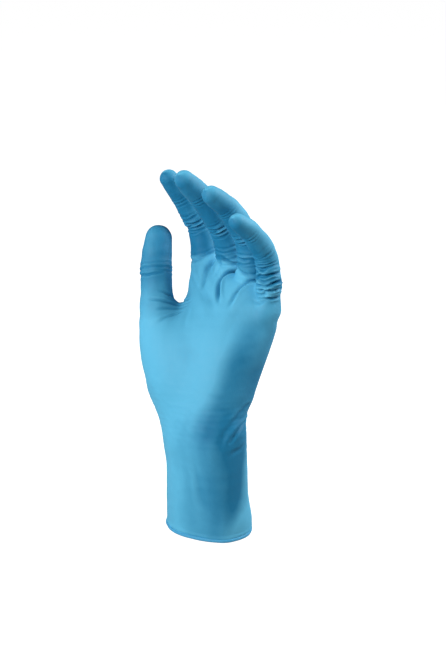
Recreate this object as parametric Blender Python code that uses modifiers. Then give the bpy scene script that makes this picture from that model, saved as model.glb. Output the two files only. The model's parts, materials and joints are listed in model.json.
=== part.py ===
"""A disposable nitrile glove with an extended cuff, in the shape it holds on a relaxed left hand.

The real glove is one dipped film with a rolled bead at its mouth. Here the film is divided
where it bends, so that each region is a thin hollow shell of its own. At each bend the outer
region nests in the inner one: a round zone of the film sits inside an open collar.

Metres, +Z up. The origin is the centre of the cuff's opening. +Z runs up the forearm, the palm
faces -Y, the thumb is at -X and the little finger at +X.
"""

import math

import bmesh
import bpy
from mathutils import Matrix, Vector

# ---- film and clearances
FILM = 0.00015
NEST_GAP = 0.00045
EDGE_GAP = 0.0004
NITRILE_BLUE = (0.10, 0.42, 0.68, 1.0)
NITRILE_ROUGHNESS = 0.45

# ---- cuff, straight along the forearm
WRIST_HEIGHT = 0.0723
CUFF_HALF_WIDTH = 0.0286
CUFF_DEPTH_RATIO = 0.735
CUFF_FLARE = 0.0008
BEAD_RADIUS = 0.0009
BEAD_POINTS = 32

# ---- hand, hung on the wrist bend
WRIST_EXTENSION = 31.0
WRIST_DEVIATION = 6.2
WRIST_RANGE = (-15.0, 40.0)
WRIST_HALF_WIDTH = 0.0270
WRIST_HALF_DEPTH = 0.0196
WRIST_ZONE = 42.0
HAND_VOXEL = 0.0030
HAND_KEPT_FACES = 0.28

# ---- fingers: places in the hand's own frame, bends in degrees from the bone before
WEB_SHARE = 0.47
BASE_RANGE = (-25.0, 25.0)
MIDDLE_RANGE = (-20.0, 40.0)
TIP_RANGE = (-10.0, 25.0)
NEST_ZONE = 32.0
COLLAR_GAP = 0.0013
COLLAR_EXCESS = 0.0025
COLLAR_CUT = 0.014
TURN_STEPS = 16
FINGERS = {
    "index": {
        "wrist_end": (-0.013, 0.000, 0.012),
        "knuckle": (-0.026, 0.000, 0.0855),
        "spread": -5.5,
        "bones": (0.042, 0.022, 0.015),
        "bends": (36.0, 23.0, 10.0),
        "radii": (0.0086, 0.0082, 0.0073, 0.0062),
    },
    "middle": {
        "wrist_end": (-0.004, 0.001, 0.012),
        "knuckle": (-0.005, 0.003, 0.087),
        "spread": 5.0,
        "bones": (0.0445, 0.030, 0.0155),
        "bends": (48.0, 22.0, 10.0),
        "radii": (0.0086, 0.0082, 0.0074, 0.0063),
    },
    "ring": {
        "wrist_end": (0.006, 0.001, 0.012),
        "knuckle": (0.014, 0.000, 0.0805),
        "spread": 6.0,
        "bones": (0.0415, 0.0275, 0.0155),
        "bends": (40.0, 30.0, 15.0),
        "radii": (0.0081, 0.0078, 0.0070, 0.0060),
    },
    "little": {
        "wrist_end": (0.014, -0.001, 0.012),
        "knuckle": (0.032, -0.005, 0.073),
        "spread": 2.5,
        "bones": (0.034, 0.021, 0.014),
        "bends": (31.0, 37.0, 19.0),
        "radii": (0.0071, 0.0069, 0.0063, 0.0054),
    },
}

# ---- thumb: each bone's heading in the hand's frame is an azimuth and an elevation
THUMB_ROOT = (-0.022, -0.010, 0.014)
THUMB_BONES = (0.046, 0.032, 0.019)
THUMB_HEADINGS = ((60.0, 62.0), (50.0, 67.0), (58.0, 79.0))
THUMB_RADII = (0.0106, 0.0097, 0.0083)
THUMB_ROOT_RADIUS = 0.0140
THUMB_WEB_SHARE = 0.25
THUMB_CURLS_TOWARDS = (0.90, 0.25, 0.0)
THUMB_BASE_RANGE = (-20.0, 15.0)
THUMB_TIP_RANGE = (-30.0, 20.0)

# ---- flesh of the palm: bars as start, end and their radii, and the heel as centre and half sizes
KNUCKLE_RADIUS = 0.0115
PALM_RADIUS = 0.0135
BALL_OF_LITTLE = ((0.012, -0.006, 0.018), (0.026, -0.006, 0.054), 0.0130, 0.0110)
THUMB_WEB = (
    ((-0.029, -0.022, 0.040), (-0.018, -0.003, 0.052), 0.0090, 0.0095),
    ((-0.031, -0.026, 0.049), (-0.021, -0.002, 0.061), 0.0065, 0.0070),
)
PALM_MIDDLE = ((-0.018, -0.012, 0.022), (-0.008, -0.002, 0.062), 0.0130, 0.0115)
HEEL = ((0.0, -0.001, 0.015), (0.0265, 0.0170, 0.0200))


def empty_scene():
    """Remove every object, so that the script can be run again in an open file."""
    for item in list(bpy.data.objects):
        bpy.data.objects.remove(item, do_unlink=True)


def new_collection(name):
    collection = bpy.data.collections.new(name)
    bpy.context.scene.collection.children.link(collection)
    return collection


def nitrile(name):
    """Satin blue nitrile, one material for each region of the film."""
    material = bpy.data.materials.new(name)
    material.use_nodes = True
    shader = material.node_tree.nodes["Principled BSDF"]
    shader.inputs["Base Color"].default_value = NITRILE_BLUE
    shader.inputs["Roughness"].default_value = NITRILE_ROUGHNESS
    shader.inputs["Metallic"].default_value = 0.0
    return material


def new_pivot(name, parent, place, turn=Matrix.Identity(3)):
    """An empty on a joint: its X is the hinge axis and its Z runs along the film."""
    pivot = bpy.data.objects.new(name, None)
    PARTS.objects.link(pivot)
    pivot.parent = parent
    pivot.location = place
    pivot.rotation_mode = "QUATERNION"
    pivot.rotation_quaternion = turn.to_quaternion()
    return pivot


def new_part(name, mesh, parent=None):
    mesh.name = name
    part = bpy.data.objects.new(name, mesh)
    PARTS.objects.link(part)
    part.parent = parent
    part.data.materials.clear()
    part.data.materials.append(nitrile(name))
    part.data.shade_smooth()
    return part


def evaluated_mesh(item):
    """The mesh that an object's modifiers make; the object itself is removed."""
    bpy.context.view_layer.update()
    graph = bpy.context.evaluated_depsgraph_get()
    mesh = bpy.data.meshes.new_from_object(item.evaluated_get(graph))
    bpy.data.objects.remove(item, do_unlink=True)
    return mesh


def turned_mesh(profile, steps=TURN_STEPS, depth_ratio=1.0):
    """Turn (radius, height) points, listed top to bottom, about Z; then flatten along Y."""
    outline = bpy.data.meshes.new("profile")
    points = [(radius, 0.0, height) for radius, height in profile]
    edges = [(i, i + 1) for i in range(len(points) - 1)]
    outline.from_pydata(points, edges, [])
    item = bpy.data.objects.new("profile", outline)
    bpy.context.scene.collection.objects.link(item)
    screw = item.modifiers.new("Screw", "SCREW")
    screw.steps = steps
    screw.render_steps = steps
    screw.use_merge_vertices = True
    screw.merge_threshold = 0.00002
    mesh = evaluated_mesh(item)
    mesh.transform(Matrix.Diagonal((1.0, depth_ratio, 1.0, 1.0)))
    return mesh


def add_film(part):
    """Give an open surface the film's thickness, inwards from its outer face."""
    solidify = part.modifiers.new("Film", "SOLIDIFY")
    solidify.thickness = FILM
    solidify.offset = -1.0


def trim_end(part, height, reach, palm_angle, back_angle):
    """Cut a tube off below a bend at this height, with room for the region beyond to swing.

    The angles are how far that region leans to the palm side and to the back. The cut is
    one slanted plane, which passes half of each angle below the bend at the tube's faces.
    """
    palm_drop = reach * math.tan(math.radians(max(palm_angle, 0.0)) / 2) + EDGE_GAP
    back_drop = reach * math.tan(math.radians(max(back_angle, 0.0)) / 2) + EDGE_GAP
    slope = math.atan2(palm_drop - back_drop, 2 * reach)
    size = 6 * reach
    mesh = bpy.data.meshes.new(part.name + "_cutter")
    shape = bmesh.new()
    bmesh.ops.create_cube(shape, size=size)
    shape.to_mesh(mesh)
    shape.free()
    cutter = bpy.data.objects.new(mesh.name, mesh)
    CUTTERS.objects.link(cutter)
    cutter.parent = part.parent
    turn = Matrix.Rotation(slope, 4, "X")
    middle = Vector((0, 0, height - (palm_drop + back_drop) / 2))
    cutter.matrix_local = Matrix.Translation(middle) @ turn @ Matrix.Translation((0, 0, size / 2))
    cutter.hide_render = True
    cutter.display_type = "WIRE"
    cut = part.modifiers.new("Trim", "BOOLEAN")
    cut.operation = "DIFFERENCE"
    cut.solver = "EXACT"
    cut.object = cutter


def nested_zone(radius, zone=NEST_ZONE, steps=3):
    """The round zone behind a bend, from its equator down to its open rim."""
    angles = [math.radians(zone) * i / steps for i in range(1, steps + 1)]
    return [(radius * math.cos(a), -radius * math.sin(a)) for a in angles]


def tube_profile(length, start, end, zone=NEST_ZONE):
    """A straight stretch of film that widens or narrows evenly, open at both ends."""
    return [(end, length), ((start + end) / 2, length / 2), (start, 0.0)] + nested_zone(start, zone)


def tip_profile(length, start, end, steps=4):
    """A closed end: an evenly narrowing stretch with a round dome of the end radius."""
    dome = [math.radians(90.0 * i / steps) for i in range(steps, 0, -1)]
    points = [(end * math.cos(a), length + end * math.sin(a)) for a in dome]
    points[0] = (0.0, length + end)
    return points + [(end, length), (start, 0.0)] + nested_zone(start)


def inner_fit(radius):
    """The radius of a zone that nests in a tube of this outer radius."""
    return radius - FILM - NEST_GAP


def add_bar(shape, start, end, start_radius, end_radius, round_end=True):
    """A rounded bar between two points, as one of the closed volumes of a body of flesh."""
    start, end = Vector(start), Vector(end)
    run = end - start
    turn = run.to_track_quat("Z", "Y").to_matrix().to_4x4()
    place = Matrix.Translation((start + end) / 2) @ turn
    bmesh.ops.create_cone(
        shape,
        cap_ends=True,
        segments=24,
        radius1=start_radius,
        radius2=end_radius,
        depth=run.length,
        matrix=place,
    )
    balls = [(start, start_radius)]
    if round_end:
        balls.append((end, end_radius))
    for centre, radius in balls:
        bmesh.ops.create_uvsphere(
            shape, u_segments=24, v_segments=12, radius=radius, matrix=Matrix.Translation(centre)
        )


def add_ellipsoid(shape, centre, half_sizes):
    """An ellipsoid, as one of the closed volumes of a body of flesh."""
    place = Matrix.Translation(centre) @ Matrix.Diagonal((*half_sizes, 1.0))
    bmesh.ops.create_uvsphere(shape, u_segments=32, v_segments=20, radius=1.0, matrix=place)


def heading(azimuth, elevation):
    """A unit vector in the hand's frame, from the thumb side towards the palm side."""
    a, e = math.radians(azimuth), math.radians(elevation)
    return Vector((-math.cos(a) * math.cos(e), -math.sin(a) * math.cos(e), math.sin(e)))


def thumb_layout():
    """The thumb's joints, and the turn of each of its two moving regions, in the hand's frame."""
    points = [Vector(THUMB_ROOT)]
    for length, angles in zip(THUMB_BONES, THUMB_HEADINGS):
        points.append(points[-1] + heading(*angles) * length)
    turns = []
    for angles in THUMB_HEADINGS[1:]:
        along = heading(*angles)
        hinge = Vector(THUMB_CURLS_TOWARDS).cross(along).normalized()
        turns.append(Matrix((hinge, along.cross(hinge), along)).transposed())
    return points, turns


def finger_turn(finger):
    """The turn of a finger's first bone in the hand's frame."""
    spread = Matrix.Rotation(math.radians(finger["spread"]), 3, "Y")
    return spread @ Matrix.Rotation(math.radians(finger["bends"][0]), 3, "X")


def collars():
    """Each collar of the hand: base joint, direction, radius and how far the rim is below."""
    found = []
    for finger in FINGERS.values():
        along = finger_turn(finger) @ Vector((0, 0, 1))
        joint = Vector(finger["knuckle"]) + along * finger["bones"][0] * WEB_SHARE
        radius = finger["radii"][0] + COLLAR_GAP
        drop = radius * math.tan(math.radians(BASE_RANGE[1]) / 2) + EDGE_GAP
        found.append((Vector(finger["knuckle"]), joint, along, radius, drop))
    points, turns = thumb_layout()
    along = turns[0] @ Vector((0, 0, 1))
    joint = points[1].lerp(points[2], THUMB_WEB_SHARE)
    radius = THUMB_RADII[0] + COLLAR_GAP
    drop = radius * math.tan(math.radians(-THUMB_BASE_RANGE[0]) / 2) + EDGE_GAP
    found.append((points[1], joint, along, radius, drop))
    return found


def hand_form():
    """The outer form of the palm, wrist and collars: bars of flesh run together and smoothed."""
    shape = bmesh.new()
    add_ellipsoid(shape, (0, 0, 0), (WRIST_HALF_WIDTH, WRIST_HALF_DEPTH, WRIST_HALF_DEPTH))
    add_ellipsoid(shape, *HEEL)
    rows = [(Vector(f["wrist_end"]), Vector(f["knuckle"])) for f in FINGERS.values()]
    between = [((a + c) / 2, (b + d) / 2) for (a, b), (c, d) in zip(rows, rows[1:])]
    for wrist_end, knuckle in rows + between:
        add_bar(shape, wrist_end, knuckle, PALM_RADIUS, KNUCKLE_RADIUS)
    for bar in (BALL_OF_LITTLE, PALM_MIDDLE) + THUMB_WEB:
        add_bar(shape, *bar)
    points, turns = thumb_layout()
    add_bar(shape, points[0], points[1], THUMB_ROOT_RADIUS, THUMB_RADII[0] + COLLAR_GAP)
    for start, joint, along, radius, drop in collars():
        add_bar(shape, start, joint + along * COLLAR_EXCESS, radius, radius, False)
    mesh = bpy.data.meshes.new("hand_form")
    shape.to_mesh(mesh)
    shape.free()
    item = bpy.data.objects.new("hand_form", mesh)
    bpy.context.scene.collection.objects.link(item)
    remesh = item.modifiers.new("Run_together", "REMESH")
    remesh.mode = "VOXEL"
    remesh.voxel_size = HAND_VOXEL
    smooth = item.modifiers.new("Soften", "SMOOTH")
    smooth.factor = 0.5
    smooth.iterations = 4
    thin_out = item.modifiers.new("Thin_out", "DECIMATE")
    thin_out.ratio = HAND_KEPT_FACES
    return item


def rims():
    """Each opening of the hand: a point on its plane, the way out, and how far it reaches."""
    drop = WRIST_HALF_DEPTH * math.sin(math.radians(WRIST_ZONE))
    found = [(Vector((0, 0, -drop)), Vector((0, 0, -1)), 2 * WRIST_HALF_WIDTH)]
    for start, joint, along, radius, drop in collars():
        found.append((joint - along * drop, along, radius + NEST_GAP))
    return found


def hand_mesh():
    """The hand's form, cut off square at each rim and opened there."""
    form = hand_form()
    cutters = []
    for rim, outward, reach in rims():
        mesh = bpy.data.meshes.new("rim_cutter")
        shape = bmesh.new()
        turn = outward.to_track_quat("Z", "Y").to_matrix().to_4x4()
        place = Matrix.Translation(rim + outward * COLLAR_CUT / 2) @ turn
        bmesh.ops.create_cone(
            shape,
            cap_ends=True,
            segments=32,
            radius1=reach,
            radius2=reach,
            depth=COLLAR_CUT,
            matrix=place,
        )
        shape.to_mesh(mesh)
        shape.free()
        cutter = bpy.data.objects.new("rim_cutter", mesh)
        CUTTERS.objects.link(cutter)
        cutters.append(cutter)
        cut = form.modifiers.new("Rim", "BOOLEAN")
        cut.operation = "DIFFERENCE"
        cut.solver = "EXACT"
        cut.object = cutter
    mesh = evaluated_mesh(form)
    for cutter in cutters:
        bpy.data.objects.remove(cutter, do_unlink=True)

    shape = bmesh.new()
    shape.from_mesh(mesh)
    for rim, outward, reach in rims():
        caps = []
        for face in shape.faces:
            offset = face.calc_center_median() - rim
            if abs(offset.dot(outward)) < 0.00002 and offset.length < reach:
                if face.normal.dot(outward) > 0.99:
                    caps.append(face)
        bmesh.ops.delete(shape, geom=caps, context="FACES")
    bmesh.ops.triangulate(shape, faces=shape.faces[:])
    shape.to_mesh(mesh)
    shape.free()
    return mesh


def build_bead():
    """The roll of film at the cuff's mouth: a closed loop of round section."""
    curve = bpy.data.curves.new("cuff_bead", "CURVE")
    curve.dimensions = "3D"
    curve.bevel_depth = BEAD_RADIUS
    curve.bevel_resolution = 2
    loop = curve.splines.new("POLY")
    loop.points.add(BEAD_POINTS - 1)
    half_width = CUFF_HALF_WIDTH + CUFF_FLARE
    for i, point in enumerate(loop.points):
        turn = math.tau * i / BEAD_POINTS
        x = half_width * math.cos(turn)
        y = half_width * CUFF_DEPTH_RATIO * math.sin(turn)
        point.co = (x, y, BEAD_RADIUS, 1.0)
    loop.use_cyclic_u = True
    item = bpy.data.objects.new("cuff_bead", curve)
    bpy.context.scene.collection.objects.link(item)
    return new_part("cuff_bead", evaluated_mesh(item))


def build_cuff():
    """The straight sleeve from the bead up to the wrist bend."""
    bottom = 2 * BEAD_RADIUS + 2 * EDGE_GAP
    profile = [
        (CUFF_HALF_WIDTH, WRIST_HEIGHT),
        (CUFF_HALF_WIDTH, WRIST_HEIGHT * 0.55),
        (CUFF_HALF_WIDTH, WRIST_HEIGHT * 0.2),
        (CUFF_HALF_WIDTH + CUFF_FLARE, bottom),
    ]
    cuff = new_part("cuff", turned_mesh(profile, 32, CUFF_DEPTH_RATIO))
    add_film(cuff)
    lean_back = WRIST_EXTENSION - WRIST_RANGE[0]
    lean_palm = WRIST_RANGE[1] - WRIST_EXTENSION
    reach = CUFF_HALF_WIDTH * CUFF_DEPTH_RATIO
    trim_end(cuff, WRIST_HEIGHT, reach, lean_palm, lean_back)
    return cuff


def build_hand():
    """The palm and back of the hand, with a short collar at each finger and at the thumb."""
    turn = Matrix.Rotation(math.radians(-WRIST_DEVIATION), 3, "Y")
    turn = turn @ Matrix.Rotation(math.radians(-WRIST_EXTENSION), 3, "X")
    pivot = new_pivot("wrist_pivot", None, (0, 0, WRIST_HEIGHT), turn)
    hand = new_part("hand", hand_mesh(), pivot)
    add_film(hand)
    return pivot


def build_finger(name, finger, hand_pivot):
    """The three regions of one finger, each hung on the one before."""
    base, middle, tip, end = finger["radii"]
    first, second, third = finger["bones"]
    turn = finger_turn(finger)
    base_place = Vector(finger["knuckle"]) + turn @ Vector((0, 0, first * WEB_SHARE))
    free_length = first * (1 - WEB_SHARE)

    base_pivot = new_pivot(name + "_base_pivot", hand_pivot, base_place, turn)
    proximal = new_part(
        name + "_proximal", turned_mesh(tube_profile(free_length, base, middle)), base_pivot
    )
    add_film(proximal)
    palm_lean = finger["bends"][1] + MIDDLE_RANGE[1]
    back_lean = -finger["bends"][1] - MIDDLE_RANGE[0]
    trim_end(proximal, free_length, middle, palm_lean, back_lean)

    bend = Matrix.Rotation(math.radians(finger["bends"][1]), 3, "X")
    middle_pivot = new_pivot(name + "_middle_pivot", base_pivot, (0, 0, free_length), bend)
    profile = tube_profile(second, inner_fit(middle), tip)
    middle_part = new_part(name + "_middle", turned_mesh(profile), middle_pivot)
    add_film(middle_part)
    palm_lean = finger["bends"][2] + TIP_RANGE[1]
    back_lean = -finger["bends"][2] - TIP_RANGE[0]
    trim_end(middle_part, second, tip, palm_lean, back_lean)

    bend = Matrix.Rotation(math.radians(finger["bends"][2]), 3, "X")
    tip_pivot = new_pivot(name + "_tip_pivot", middle_pivot, (0, 0, second), bend)
    tip_part = new_part(
        name + "_tip", turned_mesh(tip_profile(third, inner_fit(tip), end)), tip_pivot
    )
    add_film(tip_part)


def build_thumb(hand_pivot):
    """The thumb's two moving regions. A positive turn opens the thumb away from the palm."""
    points, turns = thumb_layout()
    base, middle, end = THUMB_RADII
    base_place = points[1].lerp(points[2], THUMB_WEB_SHARE)
    first = (points[2] - base_place).length
    second = (points[3] - points[2]).length

    base_pivot = new_pivot("thumb_base_pivot", hand_pivot, base_place, turns[0])
    proximal = new_part(
        "thumb_proximal", turned_mesh(tube_profile(first, base, middle)), base_pivot
    )
    add_film(proximal)
    rest_bend = math.degrees((points[2] - points[1]).angle(points[3] - points[2]))
    lean = rest_bend + max(THUMB_TIP_RANGE[1], -THUMB_TIP_RANGE[0])
    trim_end(proximal, first, middle, lean, lean)

    relative = turns[0].inverted() @ turns[1]
    tip_pivot = new_pivot("thumb_tip_pivot", base_pivot, (0, 0, first), relative)
    tip = new_part(
        "thumb_tip", turned_mesh(tip_profile(second, inner_fit(middle), end)), tip_pivot
    )
    add_film(tip)


empty_scene()
PARTS = new_collection("nitrile_glove")
CUTTERS = new_collection("cutters")
build_bead()
build_cuff()
wrist_pivot = build_hand()
for finger_name, finger_sizes in FINGERS.items():
    build_finger(finger_name, finger_sizes, wrist_pivot)
build_thumb(wrist_pivot)
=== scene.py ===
"""An extended-cuff nitrile disposable glove, standing on its cuff in the shape of the hand that wore it.

Lengths inside the shape code are millimetres in the row frame; meshes are made in metres.
"""
import json
import math

import bmesh
import bpy
import numpy as np
from mathutils import Matrix, Vector


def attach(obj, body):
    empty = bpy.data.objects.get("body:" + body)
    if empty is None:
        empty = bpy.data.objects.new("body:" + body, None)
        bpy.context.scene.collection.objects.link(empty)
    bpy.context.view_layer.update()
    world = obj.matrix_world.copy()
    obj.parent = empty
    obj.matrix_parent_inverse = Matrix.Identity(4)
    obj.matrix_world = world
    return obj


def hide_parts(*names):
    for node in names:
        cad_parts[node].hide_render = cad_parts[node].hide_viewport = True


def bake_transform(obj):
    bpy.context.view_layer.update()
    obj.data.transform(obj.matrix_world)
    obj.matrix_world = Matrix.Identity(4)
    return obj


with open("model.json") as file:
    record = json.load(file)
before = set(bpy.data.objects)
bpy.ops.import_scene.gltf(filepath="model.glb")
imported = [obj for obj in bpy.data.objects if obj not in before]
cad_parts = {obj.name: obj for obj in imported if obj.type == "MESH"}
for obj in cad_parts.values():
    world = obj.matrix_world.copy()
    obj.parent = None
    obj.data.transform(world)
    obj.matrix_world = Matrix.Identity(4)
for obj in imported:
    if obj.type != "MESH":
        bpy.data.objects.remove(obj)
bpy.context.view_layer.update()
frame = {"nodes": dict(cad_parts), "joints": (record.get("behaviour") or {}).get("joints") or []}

# ---- constants
MM = 0.001
FINGERS = ("index", "middle", "ring", "little")
DIGITS = FINGERS + ("thumb",)
FILM = 0.15                 # film thickness
WRIST_EXTENSION = 31.0      # degrees the hand leans back from the forearm
WRIST_DEVIATION = 6.2       # degrees the hand leans to the thumb side
WEB_SHARE = 0.47            # where a finger leaves the palm, as a share of its first bone
SEAM_AT = 2.0               # the palm's film ends this far past each web
WRIST_SEAM = 20.0           # the cuff's film reaches this far past the wrist bend
GRID = 0.72          # cell of the palm's mesh
RING_STEP = 0.62     # between the rings of a digit's mesh
PALM_BOX_LOW = (-62, -62, 70)       # the palm's mesh is made inside this box
PALM_BOX_HIGH = (46, 78, 172)
HEEL = (12, -20, 26)                # a point near the heel, in hand space, which the palm's film has to hold
CUT_REACH = 1.6                     # how near a seam a face has to be to be cut
CUFF_RINGS = 104
AROUND_CUFF = 200
THUMB_WEB_SHARE = 0.25
THUMB_ROOT = (-22.0, -10.0, 14.0)

# radii of each finger at its knuckle, web, middle joint, end joint and end
GIRTH = {
    "index": (9.4, 8.4, 7.5, 6.8, 5.8),
    "middle": (9.4, 8.6, 8.1, 7.3, 6.0),
    "ring": (9.0, 8.3, 7.8, 7.0, 5.8),
    "little": (7.0, 7.2, 6.9, 6.2, 5.2),
}
TIP_LENGTH = {"index": 16.0, "middle": 15.5, "ring": 15.5, "little": 14.0, "thumb": 19.0}
THUMB_GIRTH = (10.3, 10.2, 10.1, 8.3)
THUMB_SHIFT = (-1.61, -1.50, 0.0)   # 2.2 mm to the left, as the camera sees it
LITTLE_INSET = 1.6          # the little knuckle sits this much nearer the middle of the palm


# ---- small vector helpers
def unit(v):
    v = np.asarray(v, float)
    return v / np.linalg.norm(v)


def turn(axis, degrees):
    return np.array(Matrix.Rotation(math.radians(degrees), 3, Vector(axis)))


def smoothstep(a, b, x):
    t = np.clip((x - a) / (b - a), 0.0, 1.0)
    return t * t * (3 - 2 * t)


# ---- skeleton, from the frame's joints
JOINTS = {j["name"]: j for j in frame["joints"]}


def joint_at(name):
    return np.array(JOINTS[name]["pos_m"]) / MM


def joint_axis(name):
    return unit(JOINTS[name]["axis"])


HAND = turn((0, 1, 0), -WRIST_DEVIATION) @ turn((1, 0, 0), -WRIST_EXTENSION)
WRIST = joint_at("wrist_bend")


def palm_point(x, y, z):
    """A point of the hand, from the wrist: x to the little finger, y to the back, z to the fingertips."""
    return HAND @ np.array((x, y, z), float) + WRIST


def tip_heading(name, tip):
    """The way from a digit's last joint to the farthest point of its CAD tip."""
    far = np.array([v.co for v in frame["nodes"][f"{name}_tip"].data.vertices]) / MM
    return unit(far[np.argmax(np.linalg.norm(far - tip, axis=1))] - tip)


def finger_layout(name):
    base, middle, tip = (joint_at(f"{name}_{part}_bend") for part in ("base", "middle", "tip"))
    heading = tip_heading(name, tip)
    hinge = joint_axis(f"{name}_base_bend")
    heading = unit(heading - hinge * (heading @ hinge))
    end = tip + heading * TIP_LENGTH[name]
    knuckle = base - (middle - base) * WEB_SHARE / (1 - WEB_SHARE)
    return {"points": [knuckle, base, middle, tip, end], "hinge": hinge}


def thumb_layout():
    base, tip = joint_at("thumb_base_bend"), joint_at("thumb_tip_bend")
    end = tip + tip_heading("thumb", tip) * TIP_LENGTH["thumb"]
    knuckle = base - (tip - base) * THUMB_WEB_SHARE / (1 - THUMB_WEB_SHARE)
    points = [palm_point(*THUMB_ROOT), knuckle, base, tip, end]
    return {"points": points, "hinge": joint_axis("thumb_base_bend")}


LAYOUT = {name: finger_layout(name) for name in FINGERS}
LAYOUT["thumb"] = thumb_layout()


# ---- the film's smooth form, as a distance field
def smooth_min(a, b, k):
    h = np.maximum(k - np.abs(a - b), 0) / k
    return np.minimum(a, b) - h * h * (k / 4)


def bar(p, a, b, ra, rb, axis=None, ratio=1.0):
    """Distance to a round cone from a to b. With an axis, its section is flattened along that axis."""
    a = np.asarray(a, np.float32)
    b = np.asarray(b, np.float32)
    d = b - a
    q = p - a
    t = np.clip((q @ d) / (d @ d), 0, 1)
    q = q - t[:, None] * d
    d2 = (q * q).sum(1)
    if axis is not None:
        h = q @ np.asarray(axis, np.float32)
        d2 = d2 + h * h * (ratio * ratio - 1)
    return np.sqrt(d2) - (ra + (rb - ra) * t)


def egg(p, centre, axes, semi):
    """Distance to an ellipsoid, near enough close to its surface."""
    q = (p - np.asarray(centre, np.float32)) @ np.asarray(axes, np.float32)
    s = np.asarray(semi, np.float32)
    k0 = np.sqrt(((q / s) ** 2).sum(1))
    k1 = np.sqrt(((q / (s * s)) ** 2).sum(1)) + 1e-6
    return k0 * (k0 - 1) / k1


def bone_axes(direction, hinge):
    """Columns: across the finger, to its back, along it."""
    d = unit(direction)
    x = unit(hinge - d * (hinge @ d))
    return np.stack([x, np.cross(d, x), d], 1)


def rounded(points, halves, steps=5):
    """A line through the points with each inner corner rounded over the given half length."""
    points = [np.array(v, float) for v in points]
    out = [points[0]]
    for before, corner, after, half in zip(points, points[1:], points[2:], halves):
        a = corner + unit(before - corner) * half
        b = corner + unit(after - corner) * half
        for t in np.linspace(0, 1, steps):
            out.append((1 - t) ** 2 * a + 2 * t * (1 - t) * corner + t * t * b)
    return np.array(out + [points[-1]])


def finger_form(name):
    """Centres and radii of the round cones that make one finger past its web."""
    base, middle, tip, end = LAYOUT[name]["points"][1:]
    g0, g1, g2, g3 = GIRTH[name][1:]
    line = rounded((base, middle, tip, end), (8.0, 7.0))
    at = np.concatenate([[0], np.cumsum(np.linalg.norm(np.diff(line, axis=0), axis=1))])
    if name == "index":     # it bows a little towards the middle finger
        line = line + HAND[:, 0] * (1.4 * smoothstep(-4, 3, at) * smoothstep(40, 24, at))[:, None]
    bends = [at[np.argmin(np.linalg.norm(line - v, axis=1))] for v in (middle, tip)]
    marks = (0, bends[0] / 2, bends[0], sum(bends) / 2, bends[1], (bends[1] + at[-1]) / 2, at[-1])
    wide = (g0, (g0 + g1) / 2 + 0.35, g1, (g1 + g2) / 2 + 0.55, g2, (g2 + g3) / 2 + 0.35, g3)
    fine = np.linspace(0, at[-1], 15)
    centres = np.stack([np.interp(fine, at, line[:, i]) for i in range(3)], 1)
    return centres, np.interp(fine, marks, wide)


FORMS = {name: finger_form(name) for name in FINGERS}


def inset(name):
    return LITTLE_INSET if name == "little" else 0.0


def finger_field(p, name):
    knuckle, base = LAYOUT[name]["points"][:2]
    hinge = LAYOUT[name]["hinge"]
    collar = GIRTH[name][0]
    centres, radii = FORMS[name]
    d = None
    for a, b, ra, rb in zip(centres, centres[1:], radii, radii[1:]):
        part = bar(p, a, b, ra, rb)
        d = part if d is None else np.minimum(d, part)
    return smooth_min(d, bar(p, knuckle - hinge * inset(name), base, collar + 0.2, collar - 0.3), 4.0)


def thumb_field(p):
    knuckle, base, tip, end = LAYOUT["thumb"]["points"][1:]
    hinge = LAYOUT["thumb"]["hinge"]
    g0, g1, g2, g3 = THUMB_GIRTH
    s = np.array(THUMB_SHIFT)
    third = bone_axes(end - tip, hinge)
    mid = (base + tip + s) / 2
    d = bar(p, base + s, mid, g1, g2 - 0.2)
    d = np.minimum(d, bar(p, mid, tip, g2 - 0.2, g2))
    d = smooth_min(d, bar(p, tip, end, g2 - 0.2, g3), 1.5)
    pad = tip + (end - tip) * 0.45 - third[:, 1] * 0.8
    d = smooth_min(d, egg(p, pad, third, (g2 - 0.5, g3 + 0.3, 13)), 2)
    return smooth_min(d, bar(p, knuckle + s, base + s, g0, g1), 3)


# each finger's ray in the palm: where it starts across the wrist, and its radius at the knuckle
PALM_RAYS = {"index": (-12, 10.8), "middle": (-4, 10.8), "ring": (5, 10.2), "little": (11, 7.2)}

# flesh of the palm, as bars in hand space: both ends, both radii, and how softly it joins the rest
PALM_PADS = (
    ((-17, -7, 70), (15, -9, 64), 9.5, 9.5, 10),
    ((-20, -15, 76), (-25, -13, 93), 8.5, 8.0, 5),
    ((-4, -16, 64), (-4, -13.3, 90), 8.5, 8.0, 5),
    ((13, -14, 60), (16, -12.3, 88), 8.5, 8.0, 5),
    ((-14, -10, 76), (-14.5, -8.5, 93), 8.5, 8.0, 5),
    ((12, -8, 18), (21.5, -9, 52), 12.8, 8.8, 8),
    ((15, 3, 22), (25, 0, 62), 11.5, 8.2, 6),
)


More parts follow.
